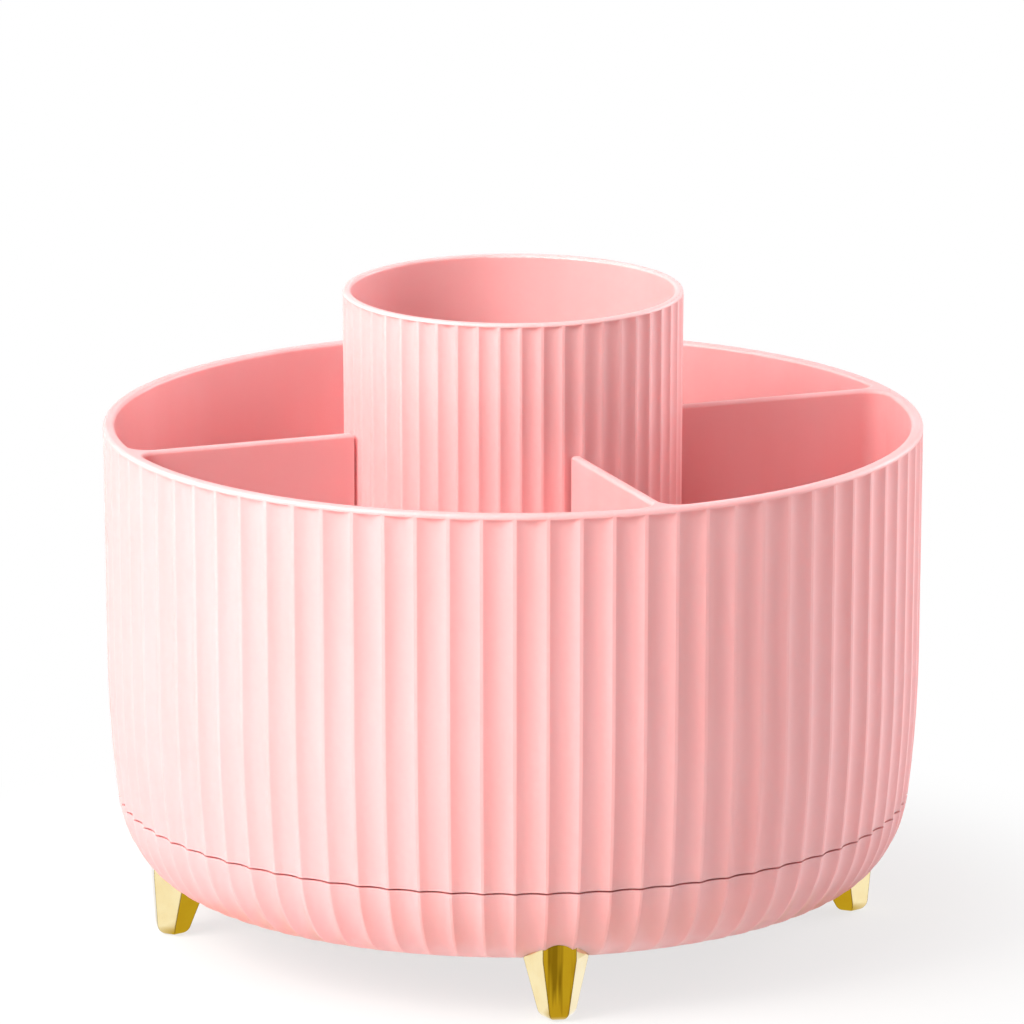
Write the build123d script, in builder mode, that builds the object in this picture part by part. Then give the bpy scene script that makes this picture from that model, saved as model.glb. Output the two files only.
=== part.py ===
# Rotating makeup organizer: a fluted drum with a brush cup, turning on a low bowl with four feet.
# Millimetres, +Z up. The origin is on the table under the middle of the bowl, and -Y is the front.

from build123d import *
import os
from math import acos, asin, cos, degrees, pi, radians, sin, sqrt, tan

os.makedirs("parts", exist_ok=True)

# Outline of the drum and the bowl, over the ridges of the flutes
rim_radius = 103.0
rim_height = 131.0
wall_draft = 0.45  # degrees
belly_height = 73.5  # the straight wall ends here and curves in
seam_inset = 3.0  # how far the seam stands in from the rim
seam_height = 35.3
seam_gap = 0.5
bowl_side_radius = 29.0
bowl_side_turn = 38.0  # degrees from upright, where the tighter corner starts
underside_height = 14.6
wall = 3.0
rim_round = 1.0

# Flutes
flute_count = 80
flute_depth = 1.0
flute_land = 0.4  # flat left between two flutes at the seam
flute_band = 1.3  # plain band under the rim
flute_turn = -0.15  # degrees from the front to the middle of a flute
flute_fade_turn = 58.0  # degrees from upright, where the bowl's flutes start to run out
flute_runout = 8.0  # length of the straight run out of the bowl
flute_lead = 1.0  # how far the bowl's flutes are cut over the seam
flute_clear = 0.08  # how far a flute's cutter stands out of the ridges
flute_steps = 12  # sections along one flute

# Compartments
floor_height = 40.4
floor_thickness = 2.4
divider_count = 4
divider_thickness = 2.4
divider_turn = 14.0  # degrees from the feet's axes at rest
divider_fillet = 5.0
floor_fillet = 2.5
socket_height = 8.0
socket_wall = 2.0

# Brush cup
cup_radius = 42.7
cup_height = 164.7
cup_draft = 0.3  # degrees
cup_wall = 2.1
cup_round = 0.8
cup_play = 0.3
cup_flute_count = 50
cup_flute_depth = 0.65
cup_flute_land = 0.35
cup_band = 0.9
cup_flute_turn = 2.64  # degrees from the front to the first ridge
cup_floor_lift = 5.6
cup_floor_thickness = 2.2
cup_floor_fillet = 3.0
post_count = 3
post_circle = 28.0
post_radius = 4.0

# Ball bearing
ball_radius = 3.0
ball_circle = 55.0
ball_count = 16
ball_play = 0.1
race_inner = 46.0
race_outer = 65.5
race_sheet = 0.8
race_trough_turn = 50.0  # degrees each side of the ball's lowest point
race_headroom = 0.5  # over the upper race's trough
cage_inner = 50.0
cage_outer = 59.5
cage_thickness = 2.4
cage_play = 0.15
seat_rib = 2.4
seat_inner_radius = 47.0
seat_outer_radius = 61.0
race_screw_count = 4
race_screw_circle = 62.6
race_screw_turn = 45.0
race_boss_radius = 3.4
race_hole_room = 0.3

# Pivot
hub_radius = 8.0
hub_shoulder_radius = 11.0
hub_play = 0.05
bush_wall = 2.0
bush_flange_radius = 13.0
bush_flange = 1.2
bush_top = 30.7
bush_headroom = 0.5
hub_wall = 3.0
pivot_ceiling = 21.0
pivot_ceiling_thickness = 2.4
pivot_lift = 0.4
washer_radius = 13.0
washer_thickness = 1.2
washer_edge = 0.2
recess_radius = 14.5
cap_radius = 16.3
cap_play = 0.2
cap_disc = 1.4
cap_rim = 1.6
cap_step = 3.2
cap_inset = 0.2
cap_round = 0.45

# Bowl inside
lip_thickness = 2.0
lip_height = 1.9
lip_play = 0.7
rib_thickness = 2.0
rib_count = 8
inner_rib_height = 8.0
outer_rib_height = 6.0

# Feet
foot_names = ("foot_front", "foot_right", "foot_back", "foot_left")
foot_sides = 6
foot_inset = 15.3  # from the seam to the middle of the foot at the top of its taper
foot_lean = 2.4  # the foot's tip stands this much further out
foot_top_side = 8.3
foot_tip_side = 4.25
foot_taper_height = 16.0
foot_top_height = 21.5
foot_tip_round = 3.2
foot_play = 0.15
foot_boss_radius = 10.8
foot_boss_ceiling = 3.3
insert_radius = 3.0
insert_length = 8.0
insert_play = 0.03
insert_tip_room = 2.5

# Screws: radius and height of the head, radius of the shank and its length under the head
race_screw_head = 2.0
race_screw_head_height = 1.3
race_screw_shank = 1.2
race_screw_length = 4.0
cup_screw_head = 2.8
cup_screw_head_height = 1.8
cup_screw_shank = 1.45
cup_screw_length = 7.6
pivot_screw_head = 4.5
pivot_screw_head_height = 2.4
pivot_screw_shank = 2.4
pivot_screw_length = 12.0
foot_screw_head = 3.6
foot_screw_head_height = 2.4
foot_screw_shank = 1.95
foot_screw_length = 10.5
screw_play = 0.05
screw_clearance = 0.25
screw_tip_room = 0.6
recess_width = 0.8
recess_share = 0.55  # of the head's radius and height
head_round = 0.45  # of the head's height
tip_chamfer = 0.4  # of the shank's radius

# Worked out from the values above
front = -90  # degrees from +X
foot_count = len(foot_names)
seam_radius = rim_radius - seam_inset
foot_circle = seam_radius - foot_inset
draft = radians(wall_draft)
belly_radius = rim_radius - (rim_height - belly_height) * tan(draft)
run_in = belly_radius - seam_radius
drop = belly_height - seam_height
belly_curve = (run_in**2 + drop**2) / (2 * (run_in * cos(draft) - drop * sin(draft)))
seam_turn = degrees(asin(sin(draft) + drop / belly_curve))
belly_centre = (belly_radius - belly_curve * cos(draft), belly_height + belly_curve * sin(draft))
side_centre = (
    seam_radius - bowl_side_radius * cos(radians(seam_turn)),
    seam_height + bowl_side_radius * sin(radians(seam_turn)),
)
corner_start = (
    side_centre[0] + bowl_side_radius * cos(radians(bowl_side_turn)),
    side_centre[1] - bowl_side_radius * sin(radians(bowl_side_turn)),
)
corner_radius = (corner_start[1] - underside_height) / (1 - sin(radians(bowl_side_turn)))
corner_centre = (
    corner_start[0] - corner_radius * cos(radians(bowl_side_turn)),
    underside_height + corner_radius,
)
drum_bottom = seam_height + seam_gap / 2
bowl_top = seam_height - seam_gap / 2
floor_underside = floor_height - floor_thickness
skirt_radius = seam_radius - wall
lip_radius = skirt_radius - lip_play
cup_hole = cup_radius + cup_play
groove_radius = ball_radius + ball_play
flange_rise = groove_radius * cos(radians(race_trough_turn))
ball_height = floor_underside - race_headroom - groove_radius - race_sheet
trough_radius = groove_radius + race_sheet
upper_seat = ball_height + flange_rise + race_sheet
lower_seat = ball_height - flange_rise - race_sheet
bush_radius = hub_radius + hub_play + bush_wall
hub_end = pivot_ceiling - pivot_lift
pivot_floor = pivot_ceiling + pivot_ceiling_thickness
washer_under = hub_end - washer_thickness
cup_floor = floor_height + cup_floor_lift
foot_boss_top = foot_top_height + foot_boss_ceiling
race_hole_depth = race_screw_length - race_sheet + race_hole_room
side_length = bowl_side_radius * radians(bowl_side_turn - seam_turn)
corner_length = corner_radius * radians(flute_fade_turn - bowl_side_turn)


# A point of the outline below the straight wall, at its turn from upright in degrees, and moved
# outwards by outset
def outline(turn, outset=0.0):
    if turn <= seam_turn:
        centre, radius = belly_centre, belly_curve
    elif turn <= bowl_side_turn:
        centre, radius = side_centre, bowl_side_radius
    else:
        centre, radius = corner_centre, corner_radius
    reach = radius + outset
    return (centre[0] + reach * cos(radians(turn)), centre[1] - reach * sin(radians(turn)))


# A point of the straight wall
def wall_point(height, outset=0.0):
    ridge = rim_radius - (rim_height - height) * tan(draft)
    return (ridge + outset * cos(draft), height - outset * sin(draft))


# The turn of the curve over the seam at a height
def belly_turn(height, outset=0.0):
    return degrees(asin((belly_centre[1] - height) / (belly_curve + outset)))


# The turn of the curve under the seam at a height
def side_turn(height, outset=0.0):
    return degrees(asin((side_centre[1] - height) / (bowl_side_radius + outset)))


# The turn of the curve under the seam at a radius
def side_turn_at(radius, outset=0.0):
    return degrees(acos((radius - side_centre[0]) / (bowl_side_radius + outset)))


# The ridge line of the drum at a height, with its turn
def drum_ridge(height):
    if height > belly_height:
        return wall_point(height), wall_draft
    turn = belly_turn(height)
    return outline(turn), turn


# The ridge line of the bowl at a distance from the seam, with its turn: the curve of the side, then
# the tighter corner, then straight on, which takes the flute out of the bowl
def bowl_ridge(distance):
    if distance <= side_length:
        turn = seam_turn + degrees(distance / bowl_side_radius)
        across = side_centre[0] + bowl_side_radius * cos(radians(turn))
        return (across, side_centre[1] - bowl_side_radius * sin(radians(turn))), turn
    if distance <= side_length + corner_length:
        turn = bowl_side_turn + degrees((distance - side_length) / corner_radius)
        return outline(turn), turn
    past = distance - side_length - corner_length
    last = outline(flute_fade_turn)
    fade = radians(flute_fade_turn)
    return (last[0] - past * sin(fade), last[1] - past * cos(fade)), flute_fade_turn


# Adds an arc of the outline to the line being drawn
def outline_arc(first, last, outset=0.0):
    middle = (first + last) / 2
    ThreePointArc(outline(first, outset), outline(middle, outset), outline(last, outset))


# Half the width of a round flute's cutter where it leaves the wall
def flute_half(radius, depth):
    return sqrt(radius**2 - (radius - depth - flute_clear) ** 2)


# The cutter's section: a segment of a circle this wide and deep, square to the outline
def flute_section(point, turn, width, depth):
    radius = (width**2 / 4 + depth**2) / (2 * depth)
    half = flute_half(radius, depth)
    tilt = radians(turn)
    across = Plane(
        origin=(point[0], 0, point[1]),
        x_dir=(cos(tilt), 0, -sin(tilt)),
        z_dir=(-sin(tilt), 0, -cos(tilt)),
    )
    with BuildSketch(across) as section:
        with BuildLine():
            ThreePointArc((flute_clear, -half), (-depth, 0), (flute_clear, half))
            Line((flute_clear, half), (flute_clear, -half))
        make_face()
    return section.sketch


# A pan head screw with a cross recess: its head stands on the XY plane, its shank hangs below
def screw(head_radius, head_height, shank_radius, length):
    slot = recess_share * head_radius * 2
    with BuildPart() as made:
        Cylinder(head_radius, head_height, align=(Align.CENTER, Align.CENTER, Align.MIN))
        fillet(made.edges().sort_by(Axis.Z)[-1], head_height * head_round)
        Cylinder(shank_radius, length, align=(Align.CENTER, Align.CENTER, Align.MAX))
        chamfer(made.edges().sort_by(Axis.Z)[0], shank_radius * tip_chamfer)
        with Locations((0, 0, head_height)):
            deep = head_height * recess_share
            top = (Align.CENTER, Align.CENTER, Align.MAX)
            Box(slot, recess_width, deep, align=top, mode=Mode.SUBTRACT)
            Box(recess_width, slot, deep, align=top, mode=Mode.SUBTRACT)
    return made.part


# One pressed ring with a groove for the balls; side is 1 over the balls and -1 under them
def race(side):
    half_width = groove_radius * sin(radians(race_trough_turn))
    back_width = sqrt(trough_radius**2 - (flange_rise + race_sheet) ** 2)
    near = ball_height + side * flange_rise
    far = near + side * race_sheet
    with BuildPart() as made:
        with BuildSketch(Plane.XZ):
            with BuildLine():
                Line((race_inner, near), (ball_circle - half_width, near))
                ThreePointArc(
                    (ball_circle - half_width, near),
                    (ball_circle, ball_height + side * groove_radius),
                    (ball_circle + half_width, near),
                )
                Polyline(
                    (ball_circle + half_width, near),
                    (race_outer, near),
                    (race_outer, far),
                    (ball_circle + back_width, far),
                )
                ThreePointArc(
                    (ball_circle + back_width, far),
                    (ball_circle, ball_height + side * trough_radius),
                    (ball_circle - back_width, far),
                )
                Polyline((ball_circle - back_width, far), (race_inner, far), (race_inner, near))
            make_face()
        revolve(axis=Axis.Z)
        with BuildSketch(Plane.XY.offset(near)):
            with PolarLocations(race_screw_circle, race_screw_count, race_screw_turn):
                Circle(race_screw_shank + screw_clearance)
        extrude(amount=side * race_sheet, mode=Mode.SUBTRACT)
    return made.part


# Flute cutter of the drum, from under the rim to past the seam
seam_width = 2 * pi * seam_radius / flute_count - flute_land
with BuildPart() as drum_flute:
    flute_top = rim_height - flute_band
    for step in range(flute_steps + 1):
        point, turn = drum_ridge(flute_top - (flute_top - seam_height) * step / flute_steps)
        add(flute_section(point, turn, seam_width, flute_depth))
    loft()

# Flute cutter of the bowl: it narrows as the flutes draw together
with BuildPart() as bowl_flute:
    flute_length = flute_lead + side_length + corner_length + flute_runout
    for step in range(flute_steps + 1):
        point, turn = bowl_ridge(flute_length * step / flute_steps - flute_lead)
        width = 2 * pi * point[0] / flute_count - flute_land
        add(flute_section(point, turn, width, flute_depth * width / seam_width))
    loft()

# Flute cutter of the brush cup
cup_slope = radians(cup_draft)
cup_foot_radius = cup_radius - (cup_height - floor_height) * tan(cup_slope)
cup_flute_width = 2 * pi * cup_foot_radius / cup_flute_count - cup_flute_land
with BuildPart() as cup_flute:
    for height in (cup_height - cup_band, floor_height - cup_band):
        ridge = (cup_radius - (cup_height - height) * tan(cup_slope), height)
        add(flute_section(ridge, cup_draft, cup_flute_width, cup_flute_depth))
    loft()

# Hollow of the drum over its floor, parted by the dividers
with BuildPart() as drum_cavity:
    with BuildSketch(Plane.XZ):
        inner_top = wall_point(rim_height + rim_round, -wall)
        inner_turn = belly_turn(floor_height, -wall)
        with BuildLine():
            Polyline((0, inner_top[1]), inner_top, wall_point(belly_height, -wall))
            outline_arc(wall_draft, inner_turn, -wall)
            Polyline(outline(inner_turn, -wall), (0, floor_height), (0, inner_top[1]))
        make_face()
    revolve(axis=Axis.Z)
    with BuildSketch(Plane.XY.offset(floor_height)):
        with PolarLocations(rim_radius / 2, divider_count, divider_turn):
            Rectangle(rim_radius, divider_thickness)
    extrude(amount=rim_height, mode=Mode.SUBTRACT)
    corners = drum_cavity.edges().filter_by(
        lambda edge: edge.bounding_box().size.Z > floor_fillet
        and Vector(edge.center().X, edge.center().Y).length > cup_hole
    )
    fillet(corners, divider_fillet)
    fillet(drum_cavity.edges().group_by(Axis.Z)[0], floor_fillet)
    with BuildSketch(Plane.XY.offset(floor_height)):
        Circle(cup_hole + socket_wall)
    extrude(amount=socket_height, mode=Mode.SUBTRACT)

# Drum: fluted wall, floor, dividers, and the hub and seats under the floor
with BuildPart() as drum_shell:
    with BuildSketch(Plane.XZ):
        drum_low = belly_turn(drum_bottom)
        with BuildLine():
            Polyline((0, rim_height), wall_point(rim_height), wall_point(belly_height))
            outline_arc(wall_draft, drum_low)
            Polyline(
                outline(drum_low),
                (skirt_radius, drum_bottom),
                (skirt_radius, floor_underside),
                (hub_shoulder_radius, floor_underside),
                (hub_shoulder_radius, bush_top + bush_headroom),
                (hub_radius, bush_top + bush_headroom),
                (hub_radius, hub_end),
                (0, hub_end),
                (0, rim_height),
            )
        make_face()
    revolve(axis=Axis.Z)
    fillet(drum_shell.edges().group_by(Axis.Z)[-1], rim_round)
    add(drum_cavity.part, mode=Mode.SUBTRACT)
    with BuildSketch(Plane.XY.offset(floor_height)):
        Circle(cup_hole)
    extrude(amount=rim_height, mode=Mode.SUBTRACT)
    rim_edges = drum_shell.edges().group_by(Axis.Z)[-1]
    fillet(rim_edges.filter_by(lambda edge: not edge.is_closed), rim_round)
    with BuildSketch(Plane.XY.offset(floor_underside)):
        for rib_radius in (seat_outer_radius, seat_inner_radius):
            Circle(rib_radius + seat_rib)
            Circle(rib_radius, mode=Mode.SUBTRACT)
        with PolarLocations(race_screw_circle, race_screw_count, race_screw_turn):
            Circle(race_boss_radius)
    extrude(amount=upper_seat - floor_underside)
    with BuildSketch(Plane.XY.offset(hub_end)):
        Circle(pivot_screw_shank + screw_play)
    pivot_hole_depth = pivot_screw_length - washer_thickness + screw_tip_room
    extrude(amount=pivot_hole_depth, mode=Mode.SUBTRACT)
    with BuildSketch(Plane.XY.offset(upper_seat)):
        with PolarLocations(race_screw_circle, race_screw_count, race_screw_turn):
            Circle(race_screw_shank + screw_play)
    extrude(amount=race_hole_depth, mode=Mode.SUBTRACT)
    with BuildSketch(Plane.XY.offset(floor_underside)):
        with PolarLocations(post_circle, post_count):
            Circle(cup_screw_shank + screw_clearance)
    extrude(amount=floor_thickness, mode=Mode.SUBTRACT)
    with PolarLocations(0, flute_count, front + flute_turn):
        add(drum_flute.part, clean=False, mode=Mode.SUBTRACT)
drum_shell.part.label = "drum_shell"
export_step(drum_shell.part, "parts/drum_shell.step")

# Hollow of the brush cup
with BuildPart() as cup_hollow:
    with BuildSketch(Plane.XZ):
        hollow_floor = cup_floor + cup_floor_thickness
        hollow_foot = cup_foot_radius - cup_wall + (hollow_floor - floor_height) * tan(cup_slope)
        with BuildLine():
            Polyline(
                (0, cup_height),
                (cup_radius - cup_wall, cup_height),
                (hollow_foot, hollow_floor),
                (0, hollow_floor),
                (0, cup_height),
            )
        make_face()
    revolve(axis=Axis.Z)
    fillet(cup_hollow.edges().group_by(Axis.Z)[0], cup_floor_fillet)

# Brush cup: fluted outside, smooth inside, on three screw posts
with BuildPart() as brush_cup:
    with BuildSketch(Plane.XZ):
        with BuildLine():
            Polyline(
                (0, cup_height),
                (cup_radius, cup_height),
                (cup_foot_radius, floor_height),
                (cup_foot_radius - cup_wall, floor_height),
                (cup_foot_radius - cup_wall + cup_floor_lift * tan(cup_slope), cup_floor),
                (0, cup_floor),
                (0, cup_height),
            )
        make_face()
    revolve(axis=Axis.Z)
    fillet(brush_cup.edges().group_by(Axis.Z)[-1], cup_round)
    add(cup_hollow.part, mode=Mode.SUBTRACT)
    fillet(brush_cup.edges().group_by(Axis.Z)[-1].sort_by(SortBy.RADIUS)[0], cup_round)
    with BuildSketch(Plane.XY.offset(floor_height)):
        with PolarLocations(post_circle, post_count):
            Circle(post_radius)
    extrude(amount=cup_floor_lift)
    with BuildSketch(Plane.XY.offset(floor_height)):
        with PolarLocations(post_circle, post_count):
            Circle(cup_screw_shank + screw_play)
    cup_hole_depth = cup_screw_length - floor_thickness + screw_tip_room
    extrude(amount=cup_hole_depth, mode=Mode.SUBTRACT)
    with PolarLocations(0, cup_flute_count, front + cup_flute_turn + 180 / cup_flute_count):
        add(cup_flute.part, clean=False, mode=Mode.SUBTRACT)
brush_cup.part.label = "brush_cup"
export_step(brush_cup.part, "parts/brush_cup.step")

# Screws that hold the cup, up through the drum's floor
with BuildPart() as cup_screws:
    with PolarLocations(post_circle, post_count):
        with Locations(Location((0, 0, floor_underside), (180, 0, 0))):
            add(screw(cup_screw_head, cup_screw_head_height, cup_screw_shank, cup_screw_length))
cup_screws.part.label = "cup_screws"
export_step(cup_screws.part, "parts/cup_screws.step")

# Ball bearing
upper_race = race(1)
upper_race.label = "upper_race"
export_step(upper_race, "parts/upper_race.step")
lower_race = race(-1)
lower_race.label = "lower_race"
export_step(lower_race, "parts/lower_race.step")

with BuildPart() as bearing_balls:
    with Locations((0, 0, ball_height)):
        with PolarLocations(ball_circle, ball_count):
            Sphere(ball_radius)
bearing_balls.part.label = "bearing_balls"
export_step(bearing_balls.part, "parts/bearing_balls.step")

with BuildPart() as ball_cage:
    with BuildSketch(Plane.XY.offset(ball_height - cage_thickness / 2)):
        Circle(cage_outer)
        Circle(cage_inner, mode=Mode.SUBTRACT)
        with PolarLocations(ball_circle, ball_count):
            Circle(ball_radius + cage_play, mode=Mode.SUBTRACT)
    extrude(amount=cage_thickness)
ball_cage.part.label = "ball_cage"
export_step(ball_cage.part, "parts/ball_cage.step")

race_screw = screw(race_screw_head, race_screw_head_height, race_screw_shank, race_screw_length)
with BuildPart() as upper_race_screws:
    with PolarLocations(race_screw_circle, race_screw_count, race_screw_turn):
        with Locations(Location((0, 0, upper_seat - race_sheet), (180, 0, 0))):
            add(race_screw)
upper_race_screws.part.label = "upper_race_screws"
export_step(upper_race_screws.part, "parts/upper_race_screws.step")

with BuildPart() as lower_race_screws:
    with PolarLocations(race_screw_circle, race_screw_count, race_screw_turn):
        with Locations((0, 0, lower_seat + race_sheet)):
            add(race_screw)
lower_race_screws.part.label = "lower_race_screws"
export_step(lower_race_screws.part, "parts/lower_race_screws.step")

# Pivot: washer and screw on the end of the drum's hub
with BuildPart() as pivot_washer:
    with BuildSketch(Plane.XY.offset(washer_under)):
        Circle(washer_radius)
        Circle(pivot_screw_shank + screw_clearance, mode=Mode.SUBTRACT)
    extrude(amount=washer_thickness)
    washer_rims = pivot_washer.edges().filter_by(GeomType.CIRCLE).sort_by(SortBy.RADIUS)[-2:]
    chamfer(washer_rims, washer_edge)
pivot_washer.part.label = "pivot_washer"
export_step(pivot_washer.part, "parts/pivot_washer.step")

with BuildPart() as pivot_screw:
    with Locations(Location((0, 0, washer_under), (180, 0, 0))):
        add(
            screw(
                pivot_screw_head,
                pivot_screw_head_height,
                pivot_screw_shank,
                pivot_screw_length,
            )
        )
pivot_screw.part.label = "pivot_screw"
export_step(pivot_screw.part, "parts/pivot_screw.step")

with BuildPart() as pivot_bush:
    with BuildSketch(Plane.XY.offset(pivot_ceiling)):
        Circle(bush_radius)
        Circle(hub_radius + hub_play, mode=Mode.SUBTRACT)
    extrude(amount=bush_top - pivot_ceiling)
    with BuildSketch(Plane.XY.offset(bush_top - bush_flange)):
        Circle(bush_flange_radius)
        Circle(hub_radius + hub_play, mode=Mode.SUBTRACT)
    extrude(amount=bush_flange)
pivot_bush.part.label = "pivot_bush"
export_step(pivot_bush.part, "parts/pivot_bush.step")

# Cap in the mouth of the pivot's recess, under the bowl
with BuildPart() as pivot_cap:
    with BuildSketch(Plane.XY.offset(underside_height + cap_inset)):
        Circle(cap_radius)
    extrude(amount=cap_step - cap_inset)
    with BuildSketch(Plane.XY.offset(underside_height + cap_inset + cap_disc)):
        Circle(cap_radius - cap_rim)
    extrude(amount=cap_step, mode=Mode.SUBTRACT)
    fillet(pivot_cap.edges().group_by(Axis.Z)[0], cap_round)
pivot_cap.part.label = "pivot_cap"
export_step(pivot_cap.part, "parts/pivot_cap.step")

# Hollow of the bowl, left round its hub, ribs, race seats and foot bosses
with BuildPart() as bowl_cavity:
    with BuildSketch(Plane.XZ):
        shelf_turn = side_turn_at(lip_radius - lip_thickness, -wall)
        cavity_top = bowl_top + lip_height
        with BuildLine():
            Polyline(
                (bush_radius + hub_play, cavity_top),
                (lip_radius - lip_thickness, cavity_top),
                outline(shelf_turn, -wall),
            )
            outline_arc(shelf_turn, bowl_side_turn, -wall)
            outline_arc(bowl_side_turn, 90, -wall)
            Polyline(
                outline(90, -wall),
                (cap_radius + wall, underside_height + wall),
                (cap_radius + wall, pivot_floor),
                (bush_radius + hub_wall, pivot_floor),
                (bush_radius + hub_wall, bush_top - bush_flange),
                (bush_radius + hub_play, bush_top - bush_flange),
                (bush_radius + hub_play, cavity_top),
            )
        make_face()
    revolve(axis=Axis.Z)
    with BuildSketch(Plane.XY.offset(underside_height)):
        for rib_radius in (seat_outer_radius, seat_inner_radius):
            Circle(rib_radius + seat_rib)
            Circle(rib_radius, mode=Mode.SUBTRACT)
        with PolarLocations(race_screw_circle, race_screw_count, race_screw_turn):
            Circle(race_boss_radius)
    extrude(amount=lower_seat - underside_height, mode=Mode.SUBTRACT)
    with BuildSketch(Plane.XY.offset(underside_height)):
        with PolarLocations(foot_circle, foot_count, front):
            Circle(foot_boss_radius)
    extrude(amount=foot_boss_top - underside_height, mode=Mode.SUBTRACT)
    rib_middle = (seat_inner_radius + bush_radius) / 2
    with BuildSketch(Plane.XY.offset(underside_height)):
        with PolarLocations(rib_middle, rib_count, 180 / rib_count):
            Rectangle(seat_inner_radius - bush_radius, rib_thickness)
    extrude(amount=wall + inner_rib_height, mode=Mode.SUBTRACT)
    rib_middle = (seat_outer_radius + skirt_radius) / 2
    with BuildSketch(Plane.XY.offset(underside_height)):
        with PolarLocations(rib_middle, rib_count, 180 / rib_count):
            Rectangle(skirt_radius - seat_outer_radius, rib_thickness)
    extrude(amount=wall + outer_rib_height, mode=Mode.SUBTRACT)

# Base: the fluted bowl
with BuildPart() as base_bowl:
    with BuildSketch(Plane.XZ):
        bowl_rim = side_turn(bowl_top)
        with BuildLine():
            Polyline(
                (0, bowl_top + lip_height),
                (lip_radius, bowl_top + lip_height),
                (lip_radius, bowl_top),
                outline(bowl_rim),
            )
            outline_arc(bowl_rim, bowl_side_turn)
            outline_arc(bowl_side_turn, 90)
            Polyline(outline(90), (0, underside_height), (0, bowl_top + lip_height))
        make_face()
    revolve(axis=Axis.Z)
    add(bowl_cavity.part, mode=Mode.SUBTRACT)
    with BuildSketch(Plane.XY.offset(pivot_ceiling)):
        Circle(bush_radius + hub_play)
    extrude(amount=rim_height, mode=Mode.SUBTRACT)
    with BuildSketch(Plane.XY.offset(underside_height)):
        Circle(recess_radius)
    extrude(amount=pivot_ceiling - underside_height, mode=Mode.SUBTRACT)
    with BuildSketch(Plane.XY.offset(underside_height)):
        Circle(cap_radius + cap_play)
    extrude(amount=cap_step, mode=Mode.SUBTRACT)
    with BuildSketch(Plane.XY.offset(lower_seat)):
        with PolarLocations(race_screw_circle, race_screw_count, race_screw_turn):
            Circle(race_screw_shank + screw_play)
    extrude(amount=-race_hole_depth, mode=Mode.SUBTRACT)
    with BuildSketch(Plane.XY.offset(foot_boss_top)):
        with PolarLocations(foot_circle, foot_count, front):
            Circle(foot_screw_shank + screw_clearance)
    extrude(amount=-foot_boss_ceiling, mode=Mode.SUBTRACT)
    with BuildSketch(Plane.XY.offset(foot_top_height)):
        with PolarLocations(foot_circle, foot_count, front):
            RegularPolygon(foot_top_side + foot_play, foot_sides, rotation=180 / foot_sides)
    extrude(amount=-foot_top_height, mode=Mode.SUBTRACT)
    with PolarLocations(0, flute_count, front + flute_turn):
        add(bowl_flute.part, clean=False, mode=Mode.SUBTRACT)
base_bowl.part.label = "base_bowl"
export_step(base_bowl.part, "parts/base_bowl.step")

# One foot: a tapered six-sided leg that leans outwards and goes straight up into its pocket
with BuildPart() as foot:
    with BuildSketch(Plane.XY.offset(foot_taper_height)):
        with Locations((0, -foot_circle)):
            RegularPolygon(foot_top_side, foot_sides)
    with BuildSketch():
        with Locations((0, -foot_circle - foot_lean)):
            RegularPolygon(foot_tip_side, foot_sides)
    loft()
    fillet(foot.edges().group_by(Axis.Z)[0], foot_tip_round)
    with BuildSketch(Plane.XY.offset(foot_taper_height)):
        with Locations((0, -foot_circle)):
            RegularPolygon(foot_top_side, foot_sides)
    extrude(amount=foot_top_height - foot_taper_height)
    with BuildSketch(Plane.XY.offset(foot_top_height)):
        with Locations((0, -foot_circle)):
            Circle(insert_radius)
    extrude(amount=-insert_length, mode=Mode.SUBTRACT)
    with BuildSketch(Plane.XY.offset(foot_top_height)):
        with Locations((0, -foot_circle)):
            Circle(foot_screw_shank + screw_clearance)
    extrude(amount=-insert_length - insert_tip_room, mode=Mode.SUBTRACT)

for index, foot_name in enumerate(foot_names):
    placed_foot = foot.part.rotate(Axis.Z, index * 360 / foot_count)
    placed_foot.label = foot_name
    export_step(placed_foot, f"parts/{foot_name}.step")

with BuildPart() as foot_inserts:
    with BuildSketch(Plane.XY.offset(foot_top_height)):
        with PolarLocations(foot_circle, foot_count, front):
            Circle(insert_radius - insert_play)
            Circle(foot_screw_shank + screw_play, mode=Mode.SUBTRACT)
    extrude(amount=-insert_length)
foot_inserts.part.label = "foot_inserts"
export_step(foot_inserts.part, "parts/foot_inserts.step")

with BuildPart() as foot_screws:
    with PolarLocations(foot_circle, foot_count, front):
        with Locations((0, 0, foot_boss_top)):
            add(
                screw(
                    foot_screw_head, foot_screw_head_height, foot_screw_shank, foot_screw_length
                )
            )
foot_screws.part.label = "foot_screws"
export_step(foot_screws.part, "parts/foot_screws.step")
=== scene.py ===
import math
import bpy
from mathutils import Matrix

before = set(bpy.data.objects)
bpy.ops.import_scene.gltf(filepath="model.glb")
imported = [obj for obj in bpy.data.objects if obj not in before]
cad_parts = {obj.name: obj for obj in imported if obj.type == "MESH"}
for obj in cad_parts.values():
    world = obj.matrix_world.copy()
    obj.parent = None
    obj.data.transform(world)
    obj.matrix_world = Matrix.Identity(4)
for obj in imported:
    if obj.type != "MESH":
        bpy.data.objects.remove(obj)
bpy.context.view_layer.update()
print("frame loaded:", len(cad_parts), "nodes")

mm = 0.001  # everything is drawn in metres


# helpers

def linearColour(hexColour):  # sRGB hex to the linear values that Blender uses
    channels = [int(hexColour[i:i + 2], 16) / 255 for i in (0, 2, 4)]
    return [c / 12.92 if c <= 0.04045 else ((c + 0.055) / 1.055) ** 2.4 for c in channels] + [1.0]


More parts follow.
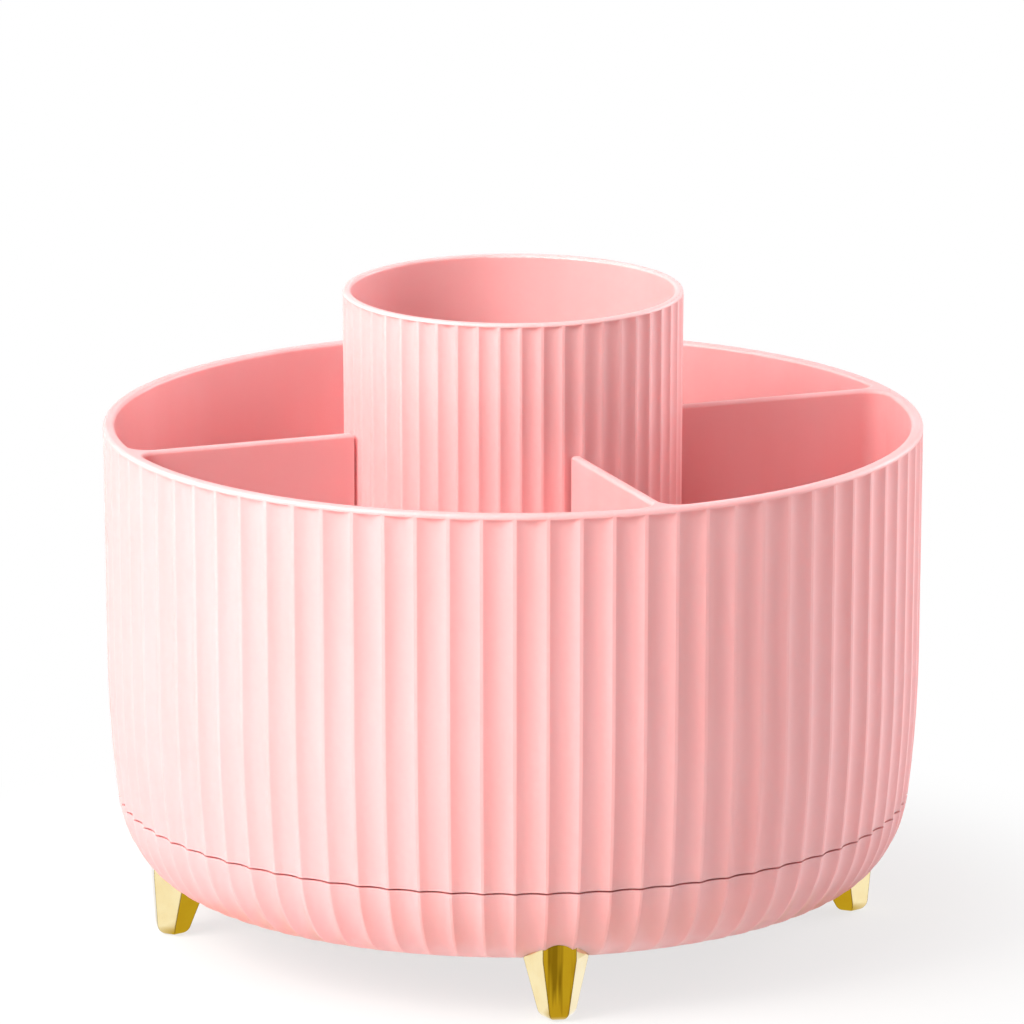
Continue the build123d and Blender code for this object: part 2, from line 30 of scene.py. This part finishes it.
def addNode(tree, kind, inputs=None, **settings):  # inputs: a plain value, or a socket to link
    node = tree.nodes.new("ShaderNode" + kind)
    for name, value in settings.items():
        setattr(node, name, value)
    for name, value in (inputs or {}).items():
        if isinstance(value, bpy.types.NodeSocket):
            tree.links.new(value, node.inputs[name])
        else:
            node.inputs[name].default_value = value
    return node


def span(side, ends):  # both ends of a range, side is From or To
    return {side + " Min": ends[0], side + " Max": ends[1]}


def outwardFacing(tree, place):  # 1 where a surface looks straight away from the object's axis
    flat = addNode(tree, "VectorMath", {0: place.outputs["Object"], 1: (1, 1, 0)},
                   operation="MULTIPLY")
    outward = addNode(tree, "VectorMath", {0: flat.outputs[0]}, operation="NORMALIZE")
    facing = addNode(tree, "VectorMath", {0: outward.outputs[0], 1: place.outputs["Normal"]},
                     operation="DOT_PRODUCT")
    return facing.outputs["Value"]


def newMaterial(name):
    material = bpy.data.materials.new(name)
    material.use_nodes = True
    material.node_tree.nodes.clear()
    return material, material.node_tree


# camera: a long lens, a little to the left of the front foot, looking slightly down

cameraLook = {
    "distance": 2219.5,  # mm from the object's axis, along the floor
    "height": 640.4,  # mm
    "turn": -7.15,  # degrees round the object from its front, to the right
    "pitch": 13.513,  # degrees down
    "lens": 318.66,  # mm
    "sensor": 36,  # mm
    "shift": -0.001,
    "clip": (0.05, 50),  # m
}


def makeCamera(look):
    data = bpy.data.cameras.new("camera")
    data.sensor_width = look["sensor"]
    data.lens = look["lens"]
    data.shift_x = look["shift"]
    data.clip_start, data.clip_end = look["clip"]
    camera = bpy.data.objects.new("camera", data)
    turn = math.radians(look["turn"])
    reach = look["distance"] * mm
    camera.location = (reach * math.sin(turn), -reach * math.cos(turn), look["height"] * mm)
    camera.rotation_euler = (math.radians(90 - look["pitch"]), 0, turn)
    bpy.context.scene.collection.objects.link(camera)
    bpy.context.scene.camera = camera


makeCamera(cameraLook)
print("camera made")


# pink ABS, injection moulded in a satin tool: a soft broad sheen, a very fine grain, faint flow
# marks that run up the wall, ridges polished a little by handling, and painted shade, a deeper
# red, in the closed places

absLook = {
    "colour": "ECAEB0",
    "roughness": (0.35, 0.42),  # along the flow marks
    "roughnessRange": (0.3, 0.7),  # of the flow marks' noise
    "ior": 1.53,
    "flowColour": "EBA8A9",
    "flowWidth": 14.0,  # mm
    "flowStretch": 0.18,  # the noise's scale upwards, so that the marks are long
    "flowRange": (0.35, 0.7),  # of the noise, from no mark to a full one
    "ridgeColour": "EFB9B9",
    "ridgeCount": 80,
    "ridgeTurn": -87.9,  # degrees from +X to one ridge
    "ridgeWidth": 0.08,  # on each side, as a share of the flutes' pitch
    "wear": 0.25,  # how far the ridges go to their colour
    "wearFacing": (0.1, 0.4),  # only on walls that look outward
    "paintedShadeColour": "D84E48",  # painted shade: a deeper red where the wall shades itself and its own light comes back to it, as inside the drum
    "paintedShadeReach": 70.0,  # mm, how far the open space round a point counts
    "paintedShadeRange": (0.40, 0.05),  # openness at which the painted shade sets in, and is full
    "paintedShadeShare": 0.6,
    "grainPitch": 0.5,  # mm; the real grain is near 0.05 mm, drawn coarser so that it shows
    "grainDepth": 0.004,  # mm
    "glow": 0.5,  # light that enters the plastic, which softens the flutes
    "glowReach": 3.6,  # mm, so that some red comes through the wall
    "glowColours": (1.0, 0.5, 0.45),  # shares of that reach for red, green and blue
}

# the cup is the same plastic with ridges of its own, painted a shade paler to stand in for the
# light that it misses from the floor
cupLook = {**absLook, "colour": "EEB5B6", "flowColour": "EDAFB0", "ridgeColour": "F0BFBF",
           "ridgeCount": 50, "ridgeTurn": -87.36}


def makeAbs(name, look):
    material, tree = newMaterial(name)
    place = addNode(tree, "TexCoord")

    # flow marks up the wall
    stretched = addNode(tree, "Mapping", {"Vector": place.outputs["Object"],
                                          "Scale": (1, 1, look["flowStretch"])})
    flow = addNode(tree, "TexNoise", {"Vector": stretched.outputs[0],
                                      "Scale": 1 / (look["flowWidth"] * mm), "Detail": 3.0,
                                      "Roughness": 0.5})
    flowMask = addNode(tree, "MapRange", {"Value": flow.outputs["Fac"],
                                          **span("From", look["flowRange"])})
    marked = addNode(tree, "Mix", {"Factor": flowMask.outputs[0],
                                   "A": linearColour(look["colour"]),
                                   "B": linearColour(look["flowColour"])}, data_type="RGBA")

    # ridges between the flutes, counted round the axis
    parts = addNode(tree, "SeparateXYZ", {0: place.outputs["Object"]})
    turn = addNode(tree, "Math", {0: parts.outputs["Y"], 1: parts.outputs["X"]},
                   operation="ARCTAN2")
    count = look["ridgeCount"]
    steps = addNode(tree, "Math", {0: turn.outputs[0], 1: count / (2 * math.pi),
                                   2: -look["ridgeTurn"] * count / 360},
                    operation="MULTIPLY_ADD")
    beside = addNode(tree, "Math", {0: steps.outputs[0], 1: 0.5}, operation="PINGPONG")
    ridge = addNode(tree, "MapRange", {"Value": beside.outputs[0],
                                       **span("From", (look["ridgeWidth"], 0))},
                    interpolation_type="SMOOTHSTEP")
    outside = addNode(tree, "MapRange", {"Value": outwardFacing(tree, place),
                                         **span("From", look["wearFacing"]),
                                         **span("To", (0, look["wear"]))})
    worn = addNode(tree, "Math", {0: ridge.outputs[0], 1: outside.outputs[0]},
                   operation="MULTIPLY")
    ridged = addNode(tree, "Mix", {"Factor": worn.outputs[0], "A": marked.outputs["Result"],
                                   "B": linearColour(look["ridgeColour"])}, data_type="RGBA")

    # painted shade: a deeper red in the closed places, where shade falls
    openness = addNode(tree, "AmbientOcclusion", {"Distance": look["paintedShadeReach"] * mm},
                       samples=4, only_local=True)
    paintedShade = addNode(tree, "MapRange", {"Value": openness.outputs["AO"],
                                      **span("From", look["paintedShadeRange"]),
                                      **span("To", (0, look["paintedShadeShare"]))})
    shadePainted = addNode(tree, "Mix", {"Factor": paintedShade.outputs[0], "A": ridged.outputs["Result"],
                                     "B": linearColour(look["paintedShadeColour"])}, data_type="RGBA")

    gloss = addNode(tree, "MapRange", {"Value": flow.outputs["Fac"],
                                       **span("From", look["roughnessRange"]),
                                       **span("To", look["roughness"])})
    grain = addNode(tree, "TexNoise", {"Vector": place.outputs["Object"],
                                       "Scale": 1 / (look["grainPitch"] * mm), "Detail": 2.0})
    bump = addNode(tree, "Bump", {"Height": grain.outputs["Fac"],
                                  "Distance": look["grainDepth"] * mm, "Strength": 1.0})
    shader = addNode(tree, "BsdfPrincipled", {
        "Base Color": shadePainted.outputs["Result"], "Roughness": gloss.outputs[0],
        "IOR": look["ior"], "Normal": bump.outputs[0], "Subsurface Weight": look["glow"],
        "Subsurface Radius": look["glowColours"], "Subsurface Scale": look["glowReach"] * mm})
    addNode(tree, "OutputMaterial", {"Surface": shader.outputs[0]})
    return material


# gold plating over moulded ABS, under clear lacquer: a mirror with a faint orange peel, a softer
# gloss where fingers and dust dull it, and painted reflections: dark streaks down the outward face
# and dark lines along the edges

goldLook = {
    "colour": "FBE8B2",
    "roughness": (0.08, 0.15),  # from clean to smeared
    "roughnessRange": (0.35, 0.75),  # of the smears' noise
    "dullColour": "F6DDA0",
    "smearPitch": 6.0,  # mm
    "smearRange": (0.4, 0.75),  # of the noise, from clean to smeared
    "paintedStreakColour": "8C7420",  # painted reflection: dark streaks down the outward face, in place of the dark bands it mirrors
    "streakPitch": 2.4,  # mm
    "streakStretch": 0.02,  # the noise's scale upwards, so that the streaks are long
    "streakRange": (0.48, 0.6),
    "streakFacing": (0.8, 0.92),
    "paintedStreakShare": 0.75,
    "paintedEdgeColour": "6B5212",  # painted reflection: dark lines along the edges, in place of the dark that rounded edges mirror
    "edgeRound": 0.5,  # mm
    "edgeRange": (0.995, 0.94),  # how far the rounded edge leans, as a cosine
    "paintedEdgeShare": 0.85,
    "peelPitch": 1.7,  # mm
    "peelDepth": 0.02,  # mm
    "peelStretch": 0.12,  # the noise's scale upwards
    "lacquer": 0.8,
    "lacquerRoughness": 0.04,
}


def makeGold(name, look):
    material, tree = newMaterial(name)
    place = addNode(tree, "TexCoord")

    # smears that dull it
    smear = addNode(tree, "TexNoise", {"Vector": place.outputs["Object"],
                                       "Scale": 1 / (look["smearPitch"] * mm), "Detail": 4.0})
    smearMask = addNode(tree, "MapRange", {"Value": smear.outputs["Fac"],
                                           **span("From", look["smearRange"])})
    smeared = addNode(tree, "Mix", {"Factor": smearMask.outputs[0],
                                    "A": linearColour(look["colour"]),
                                    "B": linearColour(look["dullColour"])}, data_type="RGBA")

    # painted reflection: dark streaks down the outward face
    upright = addNode(tree, "Mapping", {"Vector": place.outputs["Object"],
                                        "Scale": (1, 1, look["streakStretch"])})
    streak = addNode(tree, "TexNoise", {"Vector": upright.outputs[0],
                                        "Scale": 1 / (look["streakPitch"] * mm), "Detail": 2.0})
    outFace = addNode(tree, "MapRange", {"Value": outwardFacing(tree, place),
                                         **span("From", look["streakFacing"]),
                                         **span("To", (0, look["paintedStreakShare"]))})
    streakMask = addNode(tree, "MapRange", {"Value": streak.outputs["Fac"],
                                            **span("From", look["streakRange"])})
    paintedStreaks = addNode(tree, "Math", {0: streakMask.outputs[0], 1: outFace.outputs[0]},
                      operation="MULTIPLY")
    paintedStreaked = addNode(tree, "Mix", {"Factor": paintedStreaks.outputs[0],
                                     "A": smeared.outputs["Result"],
                                     "B": linearColour(look["paintedStreakColour"])}, data_type="RGBA")

    # painted reflection: dark edges, found where the rounded surface leans away from the flat one
    rounded = addNode(tree, "Bevel", {"Radius": look["edgeRound"] * mm}, samples=6)
    surface = addNode(tree, "NewGeometry")
    flatness = addNode(tree, "VectorMath", {0: rounded.outputs[0], 1: surface.outputs["Normal"]},
                       operation="DOT_PRODUCT")
    paintedEdge = addNode(tree, "MapRange", {"Value": flatness.outputs["Value"],
                                      **span("From", look["edgeRange"]),
                                      **span("To", (0, look["paintedEdgeShare"]))})
    paintedEdged = addNode(tree, "Mix", {"Factor": paintedEdge.outputs[0], "A": paintedStreaked.outputs["Result"],
                                  "B": linearColour(look["paintedEdgeColour"])}, data_type="RGBA")

    gloss = addNode(tree, "MapRange", {"Value": smear.outputs["Fac"],
                                       **span("From", look["roughnessRange"]),
                                       **span("To", look["roughness"])})
    drawn = addNode(tree, "Mapping", {"Vector": place.outputs["Object"],
                                      "Scale": (1, 1, look["peelStretch"])})
    peel = addNode(tree, "TexNoise", {"Vector": drawn.outputs[0],
                                      "Scale": 1 / (look["peelPitch"] * mm), "Detail": 1.0})
    bump = addNode(tree, "Bump", {"Height": peel.outputs["Fac"],
                                  "Distance": look["peelDepth"] * mm, "Strength": 1.0,
                                  "Normal": rounded.outputs[0]})
    shader = addNode(tree, "BsdfPrincipled", {
        "Base Color": paintedEdged.outputs["Result"], "Metallic": 1.0, "Roughness": gloss.outputs[0],
        "Normal": bump.outputs[0], "Coat Weight": look["lacquer"],
        "Coat Roughness": look["lacquerRoughness"]})
    addNode(tree, "OutputMaterial", {"Surface": shader.outputs[0]})
    return material


# the inner metal: zinc plated pressed steel is grey with cloudy spangle, ground bearing steel is a
# clean mirror, and machined brass shows fine turning marks

metalLook = {
    "cloudRange": (0.3, 0.7),  # of the clouds' noise, from smooth to dull
    "roughnessSpread": (0.85, 1.2),  # shares of the roughness
    "markDepth": 0.003,  # mm
    "markStretch": 0.06,  # the noise's scale sideways, so that the marks run round the part
}

# pitches in mm; the real tool marks are near 0.1 mm apart, drawn coarser so that they show
steelLook = {**metalLook, "colour": "C6C9CD", "cloudColour": "B4B9BF", "roughness": 0.34,
             "cloudPitch": 5.0, "markPitch": 0.8}
ballLook = {**metalLook, "colour": "D6D8DB", "cloudColour": "CDD0D4", "roughness": 0.08,
            "cloudPitch": 3.0, "markPitch": 0.6}
brassLook = {**metalLook, "colour": "CDA75C", "cloudColour": "B9924A", "roughness": 0.28,
             "cloudPitch": 1.2, "markPitch": 0.35}


def makeMetal(name, look):
    material, tree = newMaterial(name)
    place = addNode(tree, "TexCoord")
    clouds = addNode(tree, "TexNoise", {"Vector": place.outputs["Object"],
                                        "Scale": 1 / (look["cloudPitch"] * mm), "Detail": 5.0})
    colour = addNode(tree, "Mix", {"Factor": clouds.outputs["Fac"],
                                   "A": linearColour(look["colour"]),
                                   "B": linearColour(look["cloudColour"])}, data_type="RGBA")
    smooth, dull = [look["roughness"] * share for share in look["roughnessSpread"]]
    gloss = addNode(tree, "MapRange", {"Value": clouds.outputs["Fac"],
                                       **span("From", look["cloudRange"]),
                                       **span("To", (smooth, dull))})
    flattened = addNode(tree, "Mapping", {"Vector": place.outputs["Object"],
                                          "Scale": (look["markStretch"],
                                                    look["markStretch"], 1)})
    marks = addNode(tree, "TexNoise", {"Vector": flattened.outputs[0],
                                       "Scale": 1 / (look["markPitch"] * mm), "Detail": 2.0})
    bump = addNode(tree, "Bump", {"Height": marks.outputs["Fac"],
                                  "Distance": look["markDepth"] * mm, "Strength": 1.0})
    shader = addNode(tree, "BsdfPrincipled", {
        "Base Color": colour.outputs["Result"], "Metallic": 1.0, "Roughness": gloss.outputs[0],
        "Normal": bump.outputs[0]})
    addNode(tree, "OutputMaterial", {"Surface": shader.outputs[0]})
    return material


# natural POM, moulded in a smooth tool: milky, waxy and a little see-through at the edges

pomLook = {
    "colour": "ECEBE6",
    "cloudColour": "E2E1DA",
    "cloudPitch": 9.0,  # mm
    "cloudRange": (0.3, 0.7),  # of the clouds' noise, from smooth to dull
    "roughness": (0.38, 0.47),
    "ior": 1.48,
    "glow": 0.25,
    "glowReach": 1.5,  # mm
    "glowColours": (1.0, 0.9, 0.8),  # shares of that reach for red, green and blue
}


def makePom(name, look):
    material, tree = newMaterial(name)
    place = addNode(tree, "TexCoord")
    clouds = addNode(tree, "TexNoise", {"Vector": place.outputs["Object"],
                                        "Scale": 1 / (look["cloudPitch"] * mm), "Detail": 3.0})
    colour = addNode(tree, "Mix", {"Factor": clouds.outputs["Fac"],
                                   "A": linearColour(look["colour"]),
                                   "B": linearColour(look["cloudColour"])}, data_type="RGBA")
    gloss = addNode(tree, "MapRange", {"Value": clouds.outputs["Fac"],
                                       **span("From", look["cloudRange"]),
                                       **span("To", look["roughness"])})
    shader = addNode(tree, "BsdfPrincipled", {
        "Base Color": colour.outputs["Result"], "Roughness": gloss.outputs[0],
        "IOR": look["ior"], "Subsurface Weight": look["glow"],
        "Subsurface Radius": look["glowColours"], "Subsurface Scale": look["glowReach"] * mm})
    addNode(tree, "OutputMaterial", {"Surface": shader.outputs[0]})
    return material


drumAbs = makeAbs("satinAbsDrum", absLook)
cupAbs = makeAbs("satinAbsCup", cupLook)
platedGold = makeGold("platedGold", goldLook)
zincSteel = makeMetal("zincPlatedSteel", steelLook)
bearingSteel = makeMetal("groundBearingSteel", ballLook)
machinedBrass = makeMetal("machinedBrass", brassLook)
naturalPom = makePom("naturalPom", pomLook)
print("materials made")


# which finish each CAD node has

nodeFinish = {
    drumAbs: ["drum_shell", "base_bowl", "pivot_cap"],
    cupAbs: ["brush_cup"],
    platedGold: ["foot_front", "foot_right", "foot_back", "foot_left"],
    zincSteel: ["upper_race", "lower_race", "upper_race_screws", "lower_race_screws",
                "cup_screws", "foot_screws", "pivot_washer", "pivot_screw"],
    bearingSteel: ["bearing_balls"],
    machinedBrass: ["foot_inserts"],
    naturalPom: ["ball_cage", "pivot_bush"],
}
for finish, names in nodeFinish.items():
    for name in names:
        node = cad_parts[name]
        node.data.materials.clear()
        node.data.materials.append(finish)
print("finishes given to", sum(len(names) for names in nodeFinish.values()), "nodes")


# floor and sky: a painted floor that the camera sees turn plain white away from the object, and
# a white sky that gives more light from the left

stageLook = {
    "floorLeft": "FAF8F6",  # paler on the left, where the floor throws more light back up
    "floorRight": "B6B4B2",
    "floorTurnover": 0.22,  # m each side of the axis, over which one goes to the other
    "floorRoughness": 0.7,
    "floorSpecular": 0.2,
    "floorHalf": 30.0,  # m
    "shadowShare": 0.28,  # how much of the shadow the camera sees under the object
    "fade": (0.10, 0.19),  # m from the axis, where plain white sets in and is full
    "dimColour": "C0A62C",  # two dim zones of the floor that show only in reflections
    "dimFront": (-0.0865, -0.0905),  # m along Y, from there on to the front
    "dimFrontHalf": (0.064, 0.050),  # m off the axis along X, its side edges
    "dimUnder": (-0.060, -0.045),  # m along Y, from there on to the back, under the bowl
    "dimUnderHalf": (0.0935, 0.087),
    "skyLeft": 0.61,  # strength of the light that the sky gives from each side
    "skyRight": 0.26,
}


def makeFloor(look):
    half = look["floorHalf"]
    mesh = bpy.data.meshes.new("floor")
    mesh.from_pydata([(-half, -half, 0), (half, -half, 0), (half, half, 0), (-half, half, 0)],
                     [], [(0, 1, 2, 3)])
    floor = bpy.data.objects.new("floor", mesh)
    bpy.context.scene.collection.objects.link(floor)
    material, tree = newMaterial("paintedFloor")
    place = addNode(tree, "TexCoord")
    parts = addNode(tree, "SeparateXYZ", {0: place.outputs["Object"]})
    path = addNode(tree, "LightPath")

    # the paint, which catches the shadow and throws light back up
    turnover = look["floorTurnover"]
    across = addNode(tree, "MapRange", {"Value": parts.outputs["X"],
                                        **span("From", (-turnover, turnover))})
    tone = addNode(tree, "Mix", {"Factor": across.outputs[0],
                                 "A": linearColour(look["floorLeft"]),
                                 "B": linearColour(look["floorRight"])}, data_type="RGBA")
    paint = addNode(tree, "BsdfPrincipled", {"Base Color": tone.outputs["Result"],
                                             "Roughness": look["floorRoughness"],
                                             "Specular IOR Level": look["floorSpecular"]})

    # the plain white, with the dim zones that a mirror sees in it
    beside = addNode(tree, "Math", {0: parts.outputs["X"]}, operation="ABSOLUTE")
    dim = {}
    for zone, value in (("dimFront", parts.outputs["Y"]), ("dimFrontHalf", beside.outputs[0]),
                        ("dimUnder", parts.outputs["Y"]), ("dimUnderHalf", beside.outputs[0])):
        dim[zone] = addNode(tree, "MapRange", {"Value": value,
                                               **span("From", look[zone])}).outputs[0]
    front = addNode(tree, "Math", {0: dim["dimFront"], 1: dim["dimFrontHalf"]},
                    operation="MULTIPLY")
    under = addNode(tree, "Math", {0: dim["dimUnder"], 1: dim["dimUnderHalf"]},
                    operation="MULTIPLY")
    zones = addNode(tree, "Math", {0: under.outputs[0], 1: front.outputs[0]},
                    operation="MAXIMUM")
    dimmed = addNode(tree, "Math", {0: zones.outputs[0], 1: path.outputs["Is Glossy Ray"]},
                     operation="MULTIPLY")
    tint = addNode(tree, "Mix", {"Factor": dimmed.outputs[0], "A": (1, 1, 1, 1),
                                 "B": linearColour(look["dimColour"])}, data_type="RGBA")
    plain = addNode(tree, "Emission", {"Color": tint.outputs["Result"], "Strength": 1.0})

    # where each of them is seen
    away = addNode(tree, "VectorMath", {0: place.outputs["Object"]}, operation="LENGTH")
    fade = addNode(tree, "MapRange", {"Value": away.outputs["Value"],
                                      **span("From", look["fade"]),
                                      **span("To", (1 - look["shadowShare"], 1))},
                   interpolation_type="SMOOTHSTEP")
    direct = addNode(tree, "Math", {0: fade.outputs[0], 1: path.outputs["Is Camera Ray"]},
                     operation="MULTIPLY")
    glossy = addNode(tree, "Math", {0: direct.outputs[0], 1: path.outputs["Is Glossy Ray"]},
                     operation="MAXIMUM")
    white = addNode(tree, "Math", {0: glossy.outputs[0],
                                   1: path.outputs["Is Transmission Ray"]},
                    operation="MAXIMUM")
    mixed = addNode(tree, "MixShader", {0: white.outputs[0], 1: paint.outputs[0],
                                        2: plain.outputs[0]})
    addNode(tree, "OutputMaterial", {"Surface": mixed.outputs[0]})
    mesh.materials.append(material)


def makeSky(look):
    world = bpy.data.worlds.new("whiteSky")
    bpy.context.scene.world = world
    world.use_nodes = True
    tree = world.node_tree
    tree.nodes.clear()
    path = addNode(tree, "LightPath")
    direct = addNode(tree, "Math", {0: path.outputs["Is Camera Ray"],
                                    1: path.outputs["Is Glossy Ray"]}, operation="MAXIMUM")
    seen = addNode(tree, "Math", {0: direct.outputs[0],
                                  1: path.outputs["Is Transmission Ray"]}, operation="MAXIMUM")
    place = addNode(tree, "TexCoord")
    parts = addNode(tree, "SeparateXYZ", {0: place.outputs["Generated"]})
    fill = addNode(tree, "MapRange", {"Value": parts.outputs["X"], **span("From", (-1, 1)),
                                      **span("To", (look["skyLeft"], look["skyRight"]))})
    strength = addNode(tree, "MapRange", {"Value": seen.outputs[0], "To Min": fill.outputs[0]})
    sky = addNode(tree, "Background", {"Color": (1, 1, 1, 1), "Strength": strength.outputs[0]})
    addNode(tree, "OutputWorld", {"Surface": sky.outputs[0]})


# lamps: a soft box at the left, a wider one above it, one behind on the right for that edge, and a
# broad card far round to the left that only shows in the gloss
# turn: degrees round the object from the camera's side, to the right; rise: degrees up; distance
# and size in metres; power in watts

lampLook = {
    "keyLamp": {"turn": -55, "rise": 36, "distance": 1.5, "size": 0.8, "power": 22.2,
                "colour": "FFFDF6", "glossOnly": False},
    "topLamp": {"turn": -40, "rise": 56, "distance": 1.5, "size": 1.2, "power": 14.0,
                "colour": "FFFFFF", "glossOnly": False},
    "sheenCard": {"turn": -98, "rise": 12, "distance": 1.4, "size": 2.2, "power": 36.0,
                  "colour": "FFF8EC", "glossOnly": True},
    "edgeLamp": {"turn": 117, "rise": 15, "distance": 1.4, "size": 1.0, "power": 17.5,
                 "colour": "FFFFFF", "glossOnly": False},
}
lampAim = 0.08  # m above the floor, where they all point


def makeLamps(looks, cameraTurn):
    for name, look in looks.items():
        data = bpy.data.lights.new(name, "AREA")
        data.shape = "SQUARE"
        data.size = look["size"]
        data.energy = look["power"]
        data.color = linearColour(look["colour"])[:3]
        lamp = bpy.data.objects.new(name, data)
        lamp.visible_diffuse = not look["glossOnly"]
        turn = math.radians(look["turn"] + cameraTurn)
        rise = math.radians(look["rise"])
        reach = look["distance"]
        lamp.location = (reach * math.cos(rise) * math.sin(turn),
                         -reach * math.cos(rise) * math.cos(turn),
                         lampAim + reach * math.sin(rise))
        lamp.rotation_euler = (math.pi / 2 - rise, 0, turn)
        bpy.context.scene.collection.objects.link(lamp)


makeFloor(stageLook)
makeSky(stageLook)
makeLamps(lampLook, cameraLook["turn"])
bpy.context.scene.view_settings.view_transform = "Standard"
print("floor and light made")
